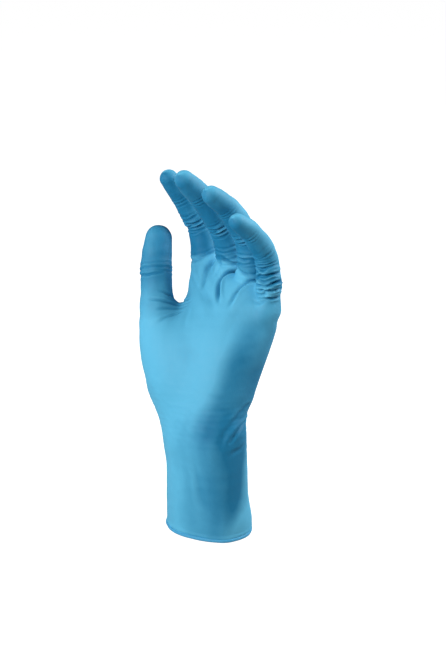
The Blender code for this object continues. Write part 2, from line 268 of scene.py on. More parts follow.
def thumb_ball(p, d):
    """Adds the ball of the thumb, and the film that spans from it to the palm."""
    root, first, base = LAYOUT["thumb"]["points"][:3]
    s = np.array(THUMB_SHIFT) * 0.8
    back = HAND[:, 1]
    d = smooth_min(d, bar(p, root + HAND @ (-3.2, -3, 5), first + s + HAND @ (1, 1, -4), 14.6, 11.8), 10)
    along = unit(first - root)
    axes = np.stack([unit(np.cross(along, back)), back, along], 1)
    half = (root + first) / 2
    d = smooth_min(d, egg(p, half + HAND @ (5, -2, -2), axes, (13, 12, 24)), 10)
    d = smooth_min(d, bar(p, half, palm_point(13, -11, 42), 12.0, 10.5), 14)
    d = smooth_min(d, egg(p, palm_point(-6, -11.5, 41), HAND, (25, 12.5, 27)), 14)
    d = smooth_min(d, bar(p, root, palm_point(12, -6, 26), 12.0, 11.0), 10)
    d = smooth_min(d, bar(p, root, (-15, -6, 56), 13.2, 9.2), 10)
    d = smooth_min(d, bar(p, first - HAND @ (-3, 0, 11), palm_point(2, -8, 45), 10.0, 9.0), 9)
    return smooth_min(d, bar(p, base - (base - first) * 1.7, palm_point(-24.5, -3, 49), 8.0, 8.6), 8)


def palm_field(p):
    back = HAND[:, 1]
    knuckle = {name: LAYOUT[name]["points"][0] for name in FINGERS}
    d = None
    for name, (start, radius) in PALM_RAYS.items():
        end = knuckle[name] - back * 0.3 - HAND[:, 0] * inset(name)
        ray = bar(p, palm_point(start, 0, 12), end, 12.5, radius)
        d = ray if d is None else smooth_min(d, ray, 9)
    # pads under the fingers
    ring_pad = knuckle["ring"] + HAND @ (0, -8, -4)
    d = smooth_min(d, bar(p, knuckle["index"] + HAND @ (3, -7, -4), ring_pad, 8.5, 8.5), 7)
    d = smooth_min(d, bar(p, ring_pad, knuckle["little"] + HAND @ (-4.5, -3.5, -4), 8.5, 6.5), 8)
    for low, high, wide, narrow, blend in PALM_PADS:
        d = smooth_min(d, bar(p, palm_point(*low), palm_point(*high), wide, narrow), blend)
    d = thumb_ball(p, d)
    # forearm and wrist
    arm = bar(p, (0, 0, -40), WRIST - (0, 0, 8), 28.3, 28.7, (0, 1, 0), 28.6 / 21.2)
    wrist = bar(p, WRIST - (0.5, 0, 6), palm_point(-0.5, -1.5, 12), 26.0, 24.8, back, 26 / 19.6)
    return smooth_min(d, smooth_min(wrist, arm, 3), 8)


# The film is stretched over the palm and bridges its hollows: the palm's distances are kept on a block,
# and blurred in front of the hand.
BLOCK_LOW = np.array((-72.0, -70.0, -12.0))
BLOCK_STEP = 2.5
BLOCK_SIZE = (52, 66, 86)
STRETCH_OVER = 7.0          # how wide the film bridges


def blurred(block, width):
    reach = int(math.ceil(3 * width))
    share = np.exp(-0.5 * (np.arange(-reach, reach + 1) / width) ** 2)
    share /= share.sum()
    for axis in range(3):
        edge = [(0, 0)] * 3
        edge[axis] = (reach, reach)
        padded = np.pad(block, edge, mode="edge")
        n = block.shape[axis]
        block = sum(k * np.take(padded, range(i, i + n), axis) for i, k in enumerate(share))
    return block


def stretched_palm():
    ticks = [BLOCK_LOW[i] + BLOCK_STEP * np.arange(BLOCK_SIZE[i]) for i in range(3)]
    p = np.stack(np.meshgrid(*ticks, indexing="ij"), -1).reshape(-1, 3)
    block = palm_field(p.astype(np.float32)).reshape(BLOCK_SIZE)
    x, y, z = ((p - WRIST) @ HAND).T
    share = smoothstep(5, -6, y) * smoothstep(-36, -12, z)
    share = share * smoothstep(96, 84, z + 0.9 * np.maximum(-14 - x, 0))
    share = (share * smoothstep(-42, -28, x) * smoothstep(36, 22, x)).reshape(BLOCK_SIZE)
    over = blurred(block, STRETCH_OVER / BLOCK_STEP) - 1.2
    return (block + share * (over - block)).astype(np.float32)


PALM_BLOCK = stretched_palm()


def palm_distance(p):
    """The stretched palm's distance, read from the block with a smooth quadratic spline."""
    u = np.clip((p - BLOCK_LOW) / BLOCK_STEP, 1, np.array(BLOCK_SIZE) - 2.51).astype(np.float32)
    cell = np.rint(u).astype(np.int64)
    f = u - cell
    weights = (0.5 * (0.5 - f) ** 2, 0.75 - f * f, 0.5 * (0.5 + f) ** 2)
    flat = PALM_BLOCK.ravel()
    size = BLOCK_SIZE
    start = (cell[:, 0] * size[1] + cell[:, 1]) * size[2] + cell[:, 2]
    out = np.zeros(len(u), np.float32)
    for i in range(3):
        for j in range(3):
            side = weights[i][:, 0] * weights[j][:, 1]
            for k in range(3):
                at = start + ((i - 1) * size[1] + (j - 1)) * size[2] + (k - 1)
                out += side * weights[k][:, 2] * flat[at]
    return out


def film_field(p):
    p = np.asarray(p, np.float32)
    d = palm_distance(p)
    digits = None
    for name in FINGERS:
        one = finger_field(p, name)
        digits = one if digits is None else smooth_min(digits, one, 1.6)
    d = smooth_min(d, digits, 3.0)
    return smooth_min(d, thumb_field(p), 6.0)


def field_normal(p, step=0.15):
    g = [film_field(p + np.eye(3)[i] * step) - film_field(p - np.eye(3)[i] * step) for i in range(3)]
    g = np.stack(g, 1).astype(float)
    return g / np.linalg.norm(g, axis=1)[:, None]


def onto_surface(centre, way, start=1.5, rounds=26):
    """Walks from each centre along its way to where the film is."""
    reach = np.full(len(centre), float(start))
    for _ in range(rounds):
        reach += np.maximum(-film_field(centre + way * reach[:, None]), -0.5) * 0.97
    return centre + way * reach[:, None]


# ---- relief: folds, creases and loose wrinkles
def wave_field(seed, wavelength, count=7):
    """A smooth irregular function of place with about the given wavelength, between about -1 and 1."""
    random = np.random.RandomState(seed)
    ways = random.normal(size=(count, 3))
    ways /= np.linalg.norm(ways, axis=1)[:, None]
    ways *= 2 * math.pi / (wavelength * random.uniform(0.7, 1.4, count))[:, None]
    phases = random.uniform(0, 2 * math.pi, count)

    def wave(p):
        return np.sin(p @ ways.T + phases).sum(1) / math.sqrt(count * 1.2)
    return wave


drift = wave_field(3, 26.0)
waver = wave_field(5, 9.0)


def groove(u, width, lip):
    """A crease section across u: a valley with a soft raised lip on each side."""
    a = np.abs(u) / width
    return -np.exp(-a ** 1.6) + lip * np.exp(-((a - 1.9) / 1.0) ** 2)


def smooth_line(points, steps=8):
    """A Catmull-Rom line through a few given points."""
    p = np.array(points, float)
    p = np.vstack([2 * p[0] - p[1], p, 2 * p[-1] - p[-2]])
    out = []
    for i in range(1, len(p) - 2):
        for t in np.linspace(0, 1, steps, endpoint=False):
            a, b, c, e = p[i - 1], p[i], p[i + 1], p[i + 2]
            square, cube = 2 * a - 5 * b + 4 * c - e, 3 * b - a - 3 * c + e
            out.append(0.5 * (2 * b + (c - a) * t + square * t * t + cube * t ** 3))
    out.append(p[-2])
    return np.array(out)


def line_relief(q, points, depth, width, lip=0.35, ends=(0.15, 0.35), side=(0, 0, 0), flat=True):
    """A fold along a line in hand space. It fades at the ends, and side makes one flank steeper.

    A flat fold counts only its place across the palm, within 14 mm of the line.
    """
    line = smooth_line(points)
    slack = 5 * width + (14 if flat else 0) * np.array((0, 1, 0))
    low, high = line.min(0) - slack, line.max(0) + slack
    near = np.all((q > low) & (q < high), axis=1)
    if flat:
        near &= (q[:, 1] < 2) == (line[:, 1].mean() < 2)
    out = np.zeros(len(q))
    if not near.any():
        return out
    v = q[near]
    if flat:
        line = line * (1, 0, 1)
        v = v * (1, 0, 1)
    lengths = np.linalg.norm(np.diff(line, axis=0), axis=1)
    starts = np.concatenate([[0], np.cumsum(lengths)])
    best = np.full(len(v), 1e9)
    along = np.zeros(len(v))
    lean = np.zeros(len(v))
    sway = np.array(side, float)
    for i, length in enumerate(lengths):
        d = (line[i + 1] - line[i]) / length
        t = np.clip((v - line[i]) @ d, 0, length)
        gap = v - line[i] - t[:, None] * d
        dist = np.linalg.norm(gap, axis=1)
        closer = dist < best
        best = np.where(closer, dist, best)
        along = np.where(closer, starts[i] + t, along)
        lean = np.where(closer, gap @ sway, lean)
    share = along / starts[-1]
    fade = smoothstep(0, ends[0], share) * smoothstep(0, ends[1], 1 - share)
    local = width * (0.75 + 0.5 * share)
    form = groove(best, local, lip) + 0.45 * np.tanh(lean / local) * np.exp(-(best / (2.2 * local)) ** 2)
    out[near] = depth * fade * form
    return out


# Points in hand space, in mm. Not all were chosen by hand: a script outside this file cast points
# picked by eye on the photo on to the film, and printed where they landed. Eight points are that
# output as printed: seven of the loose film at the wrist, and the end of a valley across the palm.
# Ten more, mostly of those valleys, lie within half a millimetre of it.
PALM_FOLDS = (
    # tent folds that run down the palm from the webs
    dict(points=((-16, -16, 100), (-16.5, -16, 93), (-14.5, -17, 85), (-12.5, -19, 76)),
         depth=1.5, width=1.6, lip=0.2, side=(-1, 0, 0)),
    dict(points=((10, -20, 94), (3.5, -18, 92), (0.2, -18, 88), (-0.7, -18.5, 83),
                 (2.5, -20, 75), (7, -22, 67)),
         depth=2.9, width=1.1, lip=0.25, side=(1, 0, -0.5)),
    dict(points=((9, -20, 97), (2, -20, 97), (-4, -22, 99)),
         depth=1.7, width=0.9, lip=0.3, ends=(0.3, 0.3)),
    dict(points=((-4, -20, 97), (-6, -19, 92), (-6, -19, 86)), depth=0.8, width=1.2, side=(-1, 0, 0)),
    dict(points=((27, -20, 89.5), (19.7, -17.4, 86), (15.8, -18.6, 81), (14.4, -20, 73), (14, -21.6, 65)),
         depth=1.6, width=1.15, lip=0.2, side=(1, 0, -0.5)),
    dict(points=((8, -20, 93.5), (3.2, -18, 91.5), (0.2, -18, 87.5), (-0.9, -18.5, 82), (1, -20, 76)),
         depth=0.8, width=0.55, lip=0.5, ends=(0.1, 0.5)),
    dict(points=((25, -20, 89), (19.4, -17.4, 85.6), (15.6, -18.6, 80.6), (14.2, -20, 74)),
         depth=0.7, width=0.55, lip=0.5, ends=(0.1, 0.5)),
    dict(points=((13, -18, 93), (17, -18, 90), (22, -18, 89)),
         depth=0.7, width=0.6, lip=0.5, ends=(0.3, 0.3)),
    # soft valleys across the palm
    dict(points=((-27, -17, 88), (-19, -18.6, 80), (-8, -22, 71.5), (-0.7, -23, 66)),
         depth=0.5, width=2.2, lip=0.5, side=(0.6, 0, 0.6)),
    dict(points=((-25, -21, 95), (-18, -17, 85), (-2, -21.6, 71), (11.5, -24.5, 55)),
         depth=0.5, width=2.6, lip=0.5, side=(0.6, 0, 0.6)),
    dict(points=((24, -18, 80), (21, -18, 66), (20, -19, 52), (18, -20, 40)),
         depth=0.35, width=3.2, lip=0.4),
    # loose film on the little-finger side of the wrist
    dict(points=((22, 14, 9), (25, 9, 5), (26.4, 5.4, 2), (27.3, 0.8, -4.2),
                 (26.4, -0.7, -9.8), (25.5, -1, -15)),
         depth=1.1, width=1.1, side=(0, -0.7, 0.7), flat=False, ends=(0.15, 0.2)),
    dict(points=((26.8, 6, 17), (26.6, 0.5, 9.7), (26.2, -2.8, 2.5), (25, -5.4, -4)),
         depth=0.6, width=1.2, side=(0, -0.7, 0.7), flat=False),
    dict(points=((26.1, -3.3, -0.4), (24.4, -5.7, -6.4), (23, -5.1, -12.8), (21.6, -2.2, -20.4)),
         depth=0.9, width=2.0, lip=0.2, flat=False, ends=(0.3, 0.5)),
    dict(points=((25, 13, -8), (26.8, 7, -14), (26.8, 1, -20)),
         depth=0.5, width=1.3, side=(0, -0.7, 0.7), flat=False),
    # wrinkles that fan out of the thumb web
    dict(points=((-17, -18, 69), (-24, -31, 64.5), (-31, -42, 62.5), (-36, -45, 62)),
         depth=0.75, width=0.75),
    dict(points=((-18, -22, 66), (-24, -33, 60), (-30, -41.5, 56)), depth=0.7, width=0.75),
    dict(points=((-17, -24, 62), (-22, -33, 54), (-26, -38.5, 47)), depth=0.6, width=0.85),
    dict(points=((-20, -13, 70), (-25, -26, 69), (-31, -39, 69)), depth=0.65, width=0.75),
    dict(points=((-15, -18, 64), (-12, -20, 56), (-9, -22, 48)), depth=0.25, width=1.3),
    # the back of the hand: loose film over the wrist and between the knuckles
    dict(points=((-14, 15, 2), (-3, 18, 5), (9, 17, 3), (18, 12, 5)),
         depth=0.7, width=1.5, side=(0, 0, 1)),
    dict(points=((-18, 12, -4), (-6, 18, -2), (6, 18, -3), (17, 13, -2)),
         depth=0.8, width=1.5, side=(0, 0, 1)),
    dict(points=((-10, 17, 9), (0, 17.5, 11), (10, 16, 10)), depth=0.45, width=1.3, side=(0, 0, 1)),
    dict(points=((-16, 9, 82), (-15, 9.5, 70), (-13, 10.5, 58)), depth=0.7, width=2.4),
    dict(points=((4, 11, 82), (3.5, 11.5, 70), (2.5, 12, 56)), depth=0.7, width=2.4),
    dict(points=((22, 7, 74), (20, 9, 62), (17, 10, 50)), depth=0.6, width=2.2),
)


def palm_relief(p):
    """Displacement in mm along the normal. It depends on place alone, so neighbours agree along a seam."""
    q = (p - WRIST) @ HAND
    d = np.zeros(len(q))
    for fold in PALM_FOLDS:
        d += line_relief(q, **fold)
    d += 0.22 * drift(p) + 0.05 * waver(p)
    loose = smoothstep(-30, -6, q[:, 2]) * smoothstep(26, 8, q[:, 2])
    d += 0.10 * loose * waver(p * (1, 1, 2.2))
    return d


# the fold where each finger leaves the palm: fullness before it, depth, place, tilt and bow
BASE_CREASES = {
    "index": (0.35, 1.15, 1.2, 1.6, 0.9),
    "middle": (0.4, 1.1, 1.6, -1.5, 0.6),
    "ring": (0.4, 1.2, 1.6, -1.5, 0.5),
    "little": (0.2, 0.5, 0.6, -1.0, 0.5),
}
# creases near a joint: place past it, depth, width and tilt
JOINT_CREASES = (
    (-3.6, 0.35, 0.7, 0.9), (-1.2, 0.5, 0.65, -0.8), (1.0, 1.15, 0.8, 0.7), (2.9, 0.6, 0.6, 1.9),
    (5.3, 1.1, 0.85, -0.5), (8.4, 0.45, 0.7, 1.2), (11.6, 0.3, 0.7, -0.7),
)
THUMB_CREASES = (
    (-6.4, 0.3, 0.6, 1.6), (-4.0, 0.62, 0.65, -0.9), (-1.6, 0.42, 0.6, 1.1), (1.6, 0.2, 0.6, 0.5),
)
THUMB_BACK_CREASES = ((-3.2, 0.3, 0.9, 0.0), (-0.6, 0.38, 0.9, 0.3), (2.2, 0.28, 0.9, 0.0))
TIP_CREASES = ((-2.6, 0.28, 0.55), (-0.3, 0.4, 0.6), (2.2, 0.28, 0.55))
BACK_RINGS = (-3.0, -0.8, 1.4, 3.6)
# creases between the ring and middle fingers' webs and middle joints: place past the web, depth and tilt
WEB_CREASES = ((6.6, 0.5, 1.2), (9.9, 0.75, -0.8), (12.6, 0.4, -0.6))
# rolls at the little finger's base: place past the web, depth, width and tilt
LITTLE_ROLLS = (
    (-9.6, 0.5, 0.9, 1.2), (-7.0, 0.8, 0.8, -0.6), (-4.6, 1.1, 0.8, 1.3), (-2.2, 1.0, 0.75, -0.9),
    (0.6, 1.3, 0.8, 0.7), (3.0, 1.1, 0.75, -1.1), (5.9, 1.2, 0.8, 0.9), (8.4, 0.9, 0.75, -0.8),
    (11.2, 0.8, 0.8, 0.6), (14.2, 0.5, 0.75, -0.3),
)


def finger_relief(name, s, angle, p):
    """Creases of one finger at s mm past its web along the bones. The angle is 90 degrees at its back."""
    base, middle, tip = LAYOUT[name]["points"][1:4]
    at_middle = 0.0 if name == "thumb" else np.linalg.norm(middle - base)
    at_tip = at_middle + np.linalg.norm(tip - middle)
    inner = 0.5 - 0.5 * np.sin(angle)           # 1 on the palm side
    outer = 1 - inner
    across = np.cos(angle)
    wobble = 0.5 * waver(p) + 0.35 * drift(p)
    d = 0.10 * drift(p * 1.7) + 0.045 * waver(p)

    def crease(at, depth, width, tilt=0.0, bow=0.0, lip=0.35, face=inner, spread=1.5):
        line = at + tilt * across + bow * across ** 2 + wobble * 0.8
        return depth * groove(s - line, width, lip) * np.clip(face, 0, 1) ** spread

    if name == "thumb":
        around = np.clip(inner + 0.55 * np.abs(across), 0, 1)
        for at, depth, width, tilt in THUMB_CREASES:
            d = d + crease(at_tip + at, depth, width, tilt, lip=0.5, face=around, spread=1.1)
        for at, depth, width, tilt in THUMB_BACK_CREASES:
            d = d + crease(at_tip + at, depth, width, tilt, face=outer, spread=3)
        return d
    wrap = np.clip(inner, 0, 1) ** 0.9
    puff, depth, at, tilt, bow = BASE_CREASES[name]
    u = s - (at + tilt * across + bow * across ** 2 + wobble * 0.5)
    d = d + wrap * (puff * np.exp(-((u + 3.2) / 2.4) ** 2) - depth * np.exp(-(np.abs(u) / 1.0) ** 1.25))
    d = d + crease(at + 3.6, 0.3, 0.6, tilt=tilt * 0.6, bow=0.5, lip=0.5)
    strength = {"index": 1.0, "middle": 0.95, "ring": 0.55, "little": 0.4}[name]
    for offset, depth, width, lean in JOINT_CREASES:
        uneven = np.clip(0.85 + 0.75 * waver(p * 0.8 + 1.7 * offset), 0.1, 1.5) * strength
        d = d + uneven * crease(at_middle + offset, depth, width, lean, bow=0.5, lip=0.6, spread=1.1)
    for offset, depth, width in TIP_CREASES:
        d = d + crease(at_tip + offset, depth, width, tilt=0.2, bow=0.4)
    # stretched film over the back of the joints keeps faint rings
    for joint in (at_middle, at_tip):
        for offset in BACK_RINGS:
            d = d + crease(joint + offset, 0.12, 0.8, bow=-0.6, face=outer, spread=2.5)
    if name in ("ring", "middle"):
        side = np.clip(across, 0, 1) ** 0.7
        amount = 1.0 if name == "ring" else 0.55
        face = np.maximum(inner, side)
        for offset, depth, lean in WEB_CREASES:
            d = d + amount * crease(offset, depth, 0.75, lean, lip=0.6, face=face, spread=1.2)
    if name == "little":
        # baggy rolls round the base of the little finger, on its palm side and outer side
        face = np.clip(np.cos(angle + 0.85), 0, 1)
        for offset, depth, width, lean in LITTLE_ROLLS:
            uneven = np.clip(1.15 + 0.6 * waver(p * 0.9 + offset), 0.3, 1.9)
            shift = 0.9 * waver(p * 0.75 - 2 * offset)
            roll = crease(offset + shift, depth, width, lean, bow=0.9, lip=0.7, face=face, spread=0.7)
            d = d + uneven * roll
    return d


def digit_frame(name):
    """A digit's web point, the axes of the bone past it, and its radius there."""
    first = 1 + (name == "thumb")
    base, following = LAYOUT[name]["points"][first:first + 2]
    girth = THUMB_GIRTH[1] if name == "thumb" else GIRTH[name][1]
    return base, bone_axes(following - base, LAYOUT[name]["hinge"]), girth


def digit_share(name, p):
    """How far a point belongs to a digit rather than to the palm, and its place along and round it."""
    base, axes, girth = digit_frame(name)
    local = (p - base) @ axes
    wide = np.hypot(local[:, 0], local[:, 1])
    share = smoothstep(girth + 4.5, girth + 2.0, wide) * smoothstep(-15, -8, local[:, 2])
    return share, local[:, 2], np.arctan2(local[:, 1], local[:, 0])


def relief(p, own=None, s=None, angle=None):
    """The whole displacement at p. A digit's own pieces pass their place along it; the palm finds it."""
    d = palm_relief(p)
    if own is not None:
        share = np.where(s < 8, digit_share(own, p)[0], 1.0)
        return d + share * finger_relief(own, s, angle, p)
    for name in DIGITS:
        share, along, turned = digit_share(name, p)
        some = share > 0
        if some.any():
            d[some] += share[some] * finger_relief(name, along[some], turned[some], p[some])
    return d


# ---- tubes along a filleted centre line
class Spine:
    """A centre line along bones, rounded at each bend. s is the distance along the bones."""

    def __init__(self, corners, fillets, hinge):
        self.corners = [np.array(c, float) for c in corners]
        bones = [np.linalg.norm(b - a) for a, b in zip(self.corners, self.corners[1:])]
        self.at = np.concatenate([[0], np.cumsum(bones)])
        self.fillets = fillets
        self.hinge = hinge

    def place(self, s):
        """Centre, across, back and along directions at each s."""
        s = np.asarray(s, float)
        i = np.clip(np.searchsorted(self.at, s, side="right") - 1, 0, len(self.corners) - 2)
        corners = np.array(self.corners)
        ways = np.diff(corners, axis=0)
        ways /= np.linalg.norm(ways, axis=1)[:, None]
        centre = corners[i] + ways[i] * (s - self.at[i])[:, None]
        along = ways[i].copy()
        for j, half in enumerate(self.fillets, start=1):
            inside = np.abs(s - self.at[j]) < half
            if not inside.any():
                continue
            t = ((s[inside] - self.at[j] + half) / (2 * half))[:, None]
            a = corners[j] - ways[j - 1] * half
            c = corners[j]
            b = corners[j] + ways[j] * half
            centre[inside] = (1 - t) ** 2 * a + 2 * t * (1 - t) * c + t * t * b
            slope = (1 - t) * (c - a) + t * (b - c)
            along[inside] = slope / np.linalg.norm(slope, axis=1)[:, None]
        across = self.hinge - along * (along @ self.hinge)[:, None]
        across /= np.linalg.norm(across, axis=1)[:, None]
        return centre, across, np.cross(along, across), along


def ring_grid(spine, s, around):
    """Rings of film points at each s, one after another, with each point's s and its angle."""
    centre, across, back = spine.place(s)[:3]
    angle = np.arange(around) * 2 * math.pi / around
    way = across[:, None] * np.cos(angle)[None, :, None] + back[:, None] * np.sin(angle)[None, :, None]
    origin = np.repeat(centre[:, None], around, 1)
    p = onto_surface(origin.reshape(-1, 3), way.reshape(-1, 3))
    return p, np.repeat(np.asarray(s, float), around), np.tile(angle, len(s))


def dome_grid(spine, s_end, around, rings):
    """Rings that close a digit's tip, seen from its last centre."""
    centre, across, back, along = (v[0] for v in spine.place([s_end]))
    angle = np.arange(around) * 2 * math.pi / around
    lift = np.arange(1, rings) * (math.pi / 2) / rings
    flat = across * np.cos(angle)[:, None] + back * np.sin(angle)[:, None]
    way = np.cos(lift)[:, None, None] * flat[None] + np.sin(lift)[:, None, None] * along
    way = np.vstack([way.reshape(-1, 3), along[None]])
    p = onto_surface(np.repeat(centre[None], len(way), 0), way)
    radius = np.linalg.norm(p[0] - centre)
    s = s_end + radius * np.repeat(np.append(lift, math.pi / 2), [around] * (rings - 1) + [1])
    return p, s, np.append(np.tile(angle, rings - 1), 0.0)


def tube_faces(rings, around, closed=False):
    """Quads between rings, plus a fan to one last point when closed."""
    faces = []
    for i in range(rings - 1):
        for j in range(around):
            k = (j + 1) % around
            faces.append((i * around + j, i * around + k, (i + 1) * around + k, (i + 1) * around + j))
    if closed:
        last = rings * around
        rim = (rings - 1) * around
        faces += [(rim + j, rim + (j + 1) % around, last) for j in range(around)]
    return faces


# ---- meshes
def open_edges(faces):
    """Directed edges that only one face uses."""
    seen = {}
    for face in faces:
        for a, b in zip(face, face[1:] + face[:1]):
            seen[(a, b)] = True
    return [(a, b) for a, b in seen if (b, a) not in seen]


def add_object(name, data):
    obj = bpy.data.objects.new(name, data)
    bpy.context.scene.collection.objects.link(obj)
    return obj


def keep_value(mesh, name, values):
    """Stores one number for each point, for the material to read."""
    mesh.attributes.new(name, "FLOAT", "POINT").data.foreach_set("value", values.astype(np.float32))


def keep_places(mesh, points):
    rest = mesh.attributes.new("rest_place", "FLOAT_VECTOR", "POINT")
    rest.data.foreach_set("vector", points.astype(np.float32).ravel())


def film_object(name, points, normals, faces, bump, material, stretch_and_painted_light):
    """A film piece: an outer skin, an inner one a film's thickness inside it, and the rims between them."""
    count = len(points)
    inner = points - normals * FILM
    every = np.vstack([points, inner]) * MM
    rims = [(b, a, a + count, b + count) for a, b in open_edges(faces)]
    skin = [tuple(f) for f in faces]
    lining = [tuple(i + count for i in reversed(f)) for f in faces]
    mesh = bpy.data.meshes.new(name)
    mesh.from_pydata(every.tolist(), [], skin + lining + rims)
    mesh.update()
    sharp = np.zeros(len(mesh.edges), bool)
    edge_of = {tuple(sorted(e.vertices)): e.index for e in mesh.edges}
    for a, b in open_edges(faces):
        sharp[edge_of[tuple(sorted((a, b)))]] = True
        sharp[edge_of[tuple(sorted((a + count, b + count)))]] = True
    mesh.attributes.new("sharp_edge", "BOOLEAN", "EDGE").data.foreach_set("value", sharp)
    keep_places(mesh, every / MM)
    # fold depth and tone for the film's colour, which paint light and shade on it
    keep_value(mesh, "fold_depth", np.concatenate([bump, bump]))
    keep_value(mesh, "stretch_and_painted_light", np.concatenate([stretch_and_painted_light, stretch_and_painted_light]))
    mesh.polygons.foreach_set("use_smooth", np.ones(len(mesh.polygons), bool))
    mesh.materials.append(material)
    obj = add_object(name, mesh)
    return obj


def palm_stretch_and_painted_light(p):
    """Pale over the palm and the ball of the thumb, deeper at fingers and wrist, on the cuff too. Partly
    stretched film, partly painted light and shade: a painted highlight over the palm, painted shade
    on its little-finger side, under the ring and little fingers and at the base of the thumb.
    """
    q = (p - WRIST) @ HAND
    # painted highlight over the palm, partly the paler colour of stretched film
    t = smoothstep(-30, 22, q[:, 2]) * smoothstep(112, 88, q[:, 2] + 0.3 * np.abs(q[:, 0] + 4))
    # slack: painted shade on the little-finger side of the palm, wrist and cuff, which turns from the lamps
    across = q[:, 0] - 0.13 * np.maximum(q[:, 2] - 12, 0) + 11.0 * smoothstep(30, -16, q[:, 2])
    slack = smoothstep(13.5, 28, across) * smoothstep(18, 6, q[:, 1] + 0.28 * np.minimum(q[:, 2], 0))
    # painted shade at the little finger's base, partly bunched film
    baggy_and_shaded = smoothstep(22, 27, q[:, 0]) * smoothstep(70, 80, q[:, 2]) * smoothstep(8, -2, q[:, 1])
    deep = 0.75 * slack * smoothstep(88, 52, q[:, 2]) + 0.45 * baggy_and_shaded
    # painted shade under the bases of the ring and little fingers
    deep = deep + 0.5 * smoothstep(7, 17, q[:, 0]) * smoothstep(83, 92, q[:, 2])
    # painted shade at the base of the thumb
    base, axes, girth = digit_frame("thumb")
    local = (p - base) @ axes
    wide = np.hypot(local[:, 0], local[:, 1])
    deep = deep + 0.45 * smoothstep(-20, 3, local[:, 2]) * smoothstep(girth + 14, girth, wide)
    return np.clip(0.74 + 0.2 * t + 0.08 * drift(p) - deep, 0, 1)


def digit_stretch_and_painted_light(name, p, s, angle):
    """Fingers are deep in colour on the palm side and pale along the back: painted shade underneath and
    painted light along the back, where the film is also stretched. The thumb is pale on one side and
    deep on the other: painted light and shade.
    """
    back = 0.5 + 0.5 * np.sin(angle)
    own = 0.02 + 0.9 * back ** 1.3 if name != "thumb" else 0.18 + 0.42 * np.clip(-np.cos(angle), 0, 1)
    near = smoothstep(18, 2, s) if name == "thumb" else smoothstep(5.5, 2, s)
    return np.clip(own + 0.08 * drift(p) * (1 - near) + near * (palm_stretch_and_painted_light(p) - own), 0, 1)


def skin_points(p, own=None, s=None, angle=None):
    """Film points moved out by their relief, with the normals and the relief."""
    normals = field_normal(p)
    bump = relief(p, own, s, angle)
    return p + normals * bump[:, None], normals, bump


# ---- the palm, from a sparse grid
def net_surface(low, high, size):
    """Surface nets of the film field inside a box, on a coarse grid that is fine only near the film."""
    low = np.array(low, float)
    blocks = np.ceil((np.array(high) - low) / (4 * size)).astype(int)
    axes = [low[i] + 4 * size * (np.arange(blocks[i]) + 0.5) for i in range(3)]
    coarse = film_field(np.stack(np.meshgrid(*axes, indexing="ij"), -1).reshape(-1, 3)).reshape(blocks)
    near = np.abs(coarse) < 4 * size * 0.9 + 2
    full = np.repeat(np.repeat(np.repeat(coarse, 4, 0), 4, 1), 4, 2).astype(np.float32)
    fine = np.repeat(np.repeat(np.repeat(near, 4, 0), 4, 1), 4, 2)
    full[fine] = film_field(low + size * (np.argwhere(fine) + 0.5))
    inside = full < 0
    n = np.array(full.shape)
    corners = [(i, j, k) for i in (0, 1) for j in (0, 1) for k in (0, 1)]
    total = sum(inside[i:n[0] - 1 + i, j:n[1] - 1 + j, k:n[2] - 1 + k].astype(np.int8)
                for i, j, k in corners)
    active = (total > 0) & (total < 8)
    cells = np.argwhere(active)
    ids = -np.ones(active.shape, np.int64)
    ids[active] = np.arange(len(cells))
    place = np.zeros((len(cells), 3))
    hits = np.zeros(len(cells))
    for axis in range(3):
        others = [x for x in range(3) if x != axis]
        for u in (0, 1):
            for v in (0, 1):
                step = np.zeros(3, int)
                step[others[0]], step[others[1]] = u, v
                a = cells + step
                b = a.copy()
                b[:, axis] += 1
                fa, fb = full[tuple(a.T)], full[tuple(b.T)]
                crossing = (fa < 0) != (fb < 0)
                at = a[crossing].astype(float)
                at[:, axis] += fa[crossing] / (fa[crossing] - fb[crossing])
                place[crossing] += at
                hits[crossing] += 1
    points = low + size * (place / hits[:, None] + 0.5)
    quads = []
    for axis in range(3):
        first, second = [slice(None)] * 3, [slice(None)] * 3
        first[axis], second[axis] = slice(0, -1), slice(1, None)
        crossing = inside[tuple(first)] != inside[tuple(second)]
        edge = np.argwhere(crossing)
        filled = inside[tuple(first)][crossing]
        p, q = ((1, 2), (2, 0), (0, 1))[axis]
        whole = (edge[:, p] > 0) & (edge[:, q] > 0) & (edge[:, p] < n[p] - 1) & (edge[:, q] < n[q] - 1)
        edge, filled = edge[whole], filled[whole]
        loop = []
        for u, v in ((-1, -1), (0, -1), (0, 0), (-1, 0)):
            cell = edge.copy()
            cell[:, p] += u
            cell[:, q] += v
            loop.append(ids[tuple(cell.T)])
        loop = np.stack(loop, 1)
        loop[~filled] = loop[~filled][:, ::-1]
        quads.append(loop)
    return points, np.concatenate(quads)


def settle(p, rounds=2):
    for _ in range(rounds):
        p = p - field_normal(p) * film_field(p)[:, None]
    return p


def cut_faces(bm, chosen, point, normal):
    """Divides the chosen faces by a plane, so that edges run exactly along it."""
    edges = {e for f in chosen for e in f.edges}
    verts = {v for f in chosen for v in f.verts}
    bmesh.ops.bisect_plane(bm, geom=list(verts) + list(edges) + list(chosen), dist=1e-4,
                           plane_co=Vector(point), plane_no=Vector(normal))


SEAMS = [digit_frame(name) for name in DIGITS]


def seam_owners(centres):
    """The digit whose seam lies near each point, as a place in SEAMS, or -1."""
    gaps = []
    for base, axes, girth in SEAMS:
        local = (centres - base) @ axes
        away = np.abs(local[:, 2] - SEAM_AT) > 6
        gaps.append(np.abs(np.hypot(local[:, 0], local[:, 1]) - girth) + 1e3 * away)
    gaps = np.array(gaps)
    return np.where(gaps.min(0) < 4.5, gaps.argmin(0), -1)


def faces_and_centres(bm):
    faces = list(bm.faces)
    return faces, np.array([f.calc_center_median() for f in faces])


def picked(faces, chosen):
    return [faces[k] for k in np.nonzero(chosen)[0]]


